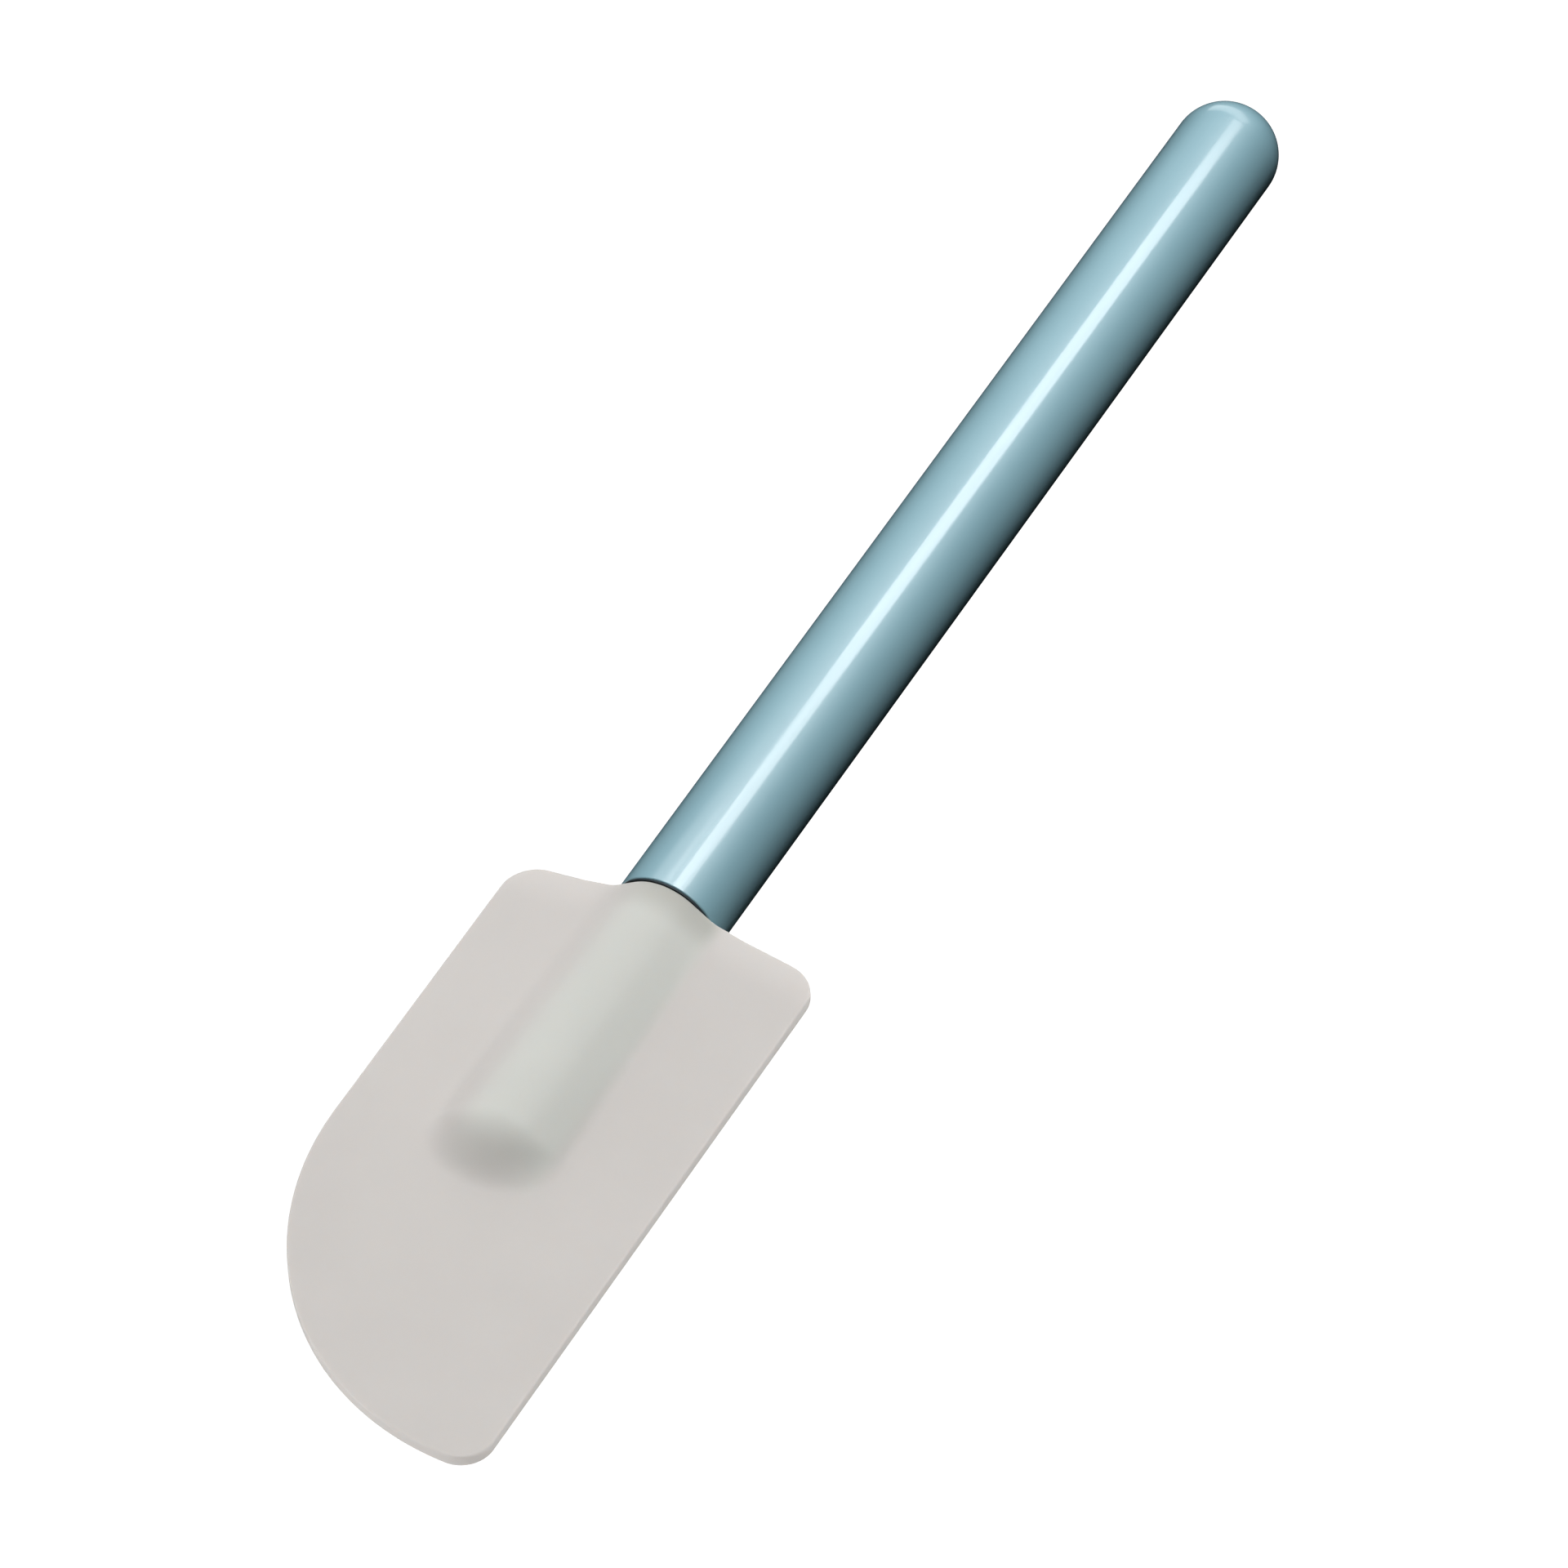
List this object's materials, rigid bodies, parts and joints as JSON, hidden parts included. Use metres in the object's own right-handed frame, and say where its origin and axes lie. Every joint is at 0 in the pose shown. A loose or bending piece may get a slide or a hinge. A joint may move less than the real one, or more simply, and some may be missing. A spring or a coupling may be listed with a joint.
{
  "type": "scraper spatula",
  "caption": "Push-on scraper spatula: a soft silicone blade with a straight side, a large curved corner and a raised socket, on a round straight handle with a domed end.",
  "frame": {"origin": "on the handle's axis, in the plane of the handle's open mouth, where the head meets it", "axes": "+X along the handle towards its domed end; +Y towards the head's curved corner, so the straight scraping side is at -Y; +Z out of the head's front face"},
  "size_m": [0.2762, 0.0479, 0.016],
  "materials": {
    "head_silicone": "matte moulded silicone",
    "handle_plastic": "high gloss",
    "tang_nylon": "glass-filled nylon, matte",
    "rod_steel": "drawn wire",
    "bush_nylon": "natural nylon",
    "seal_rubber": "dark rubber, matte"
  },
  "bodies": {
    "handle": {"handle_shell": "handle_plastic", "tang": "tang_nylon", "core_rod": "rod_steel", "rod_bush": "bush_nylon", "mouth_seal": "seal_rubber"},
    "head": {"silicone_head": "head_silicone"}
  },
  "joints": [
    {"name": "head_pull", "type": "slide", "parent": "handle", "child": "head", "axis": [-1, 0, 0], "range_m": [0, 0.048]}
  ]
}
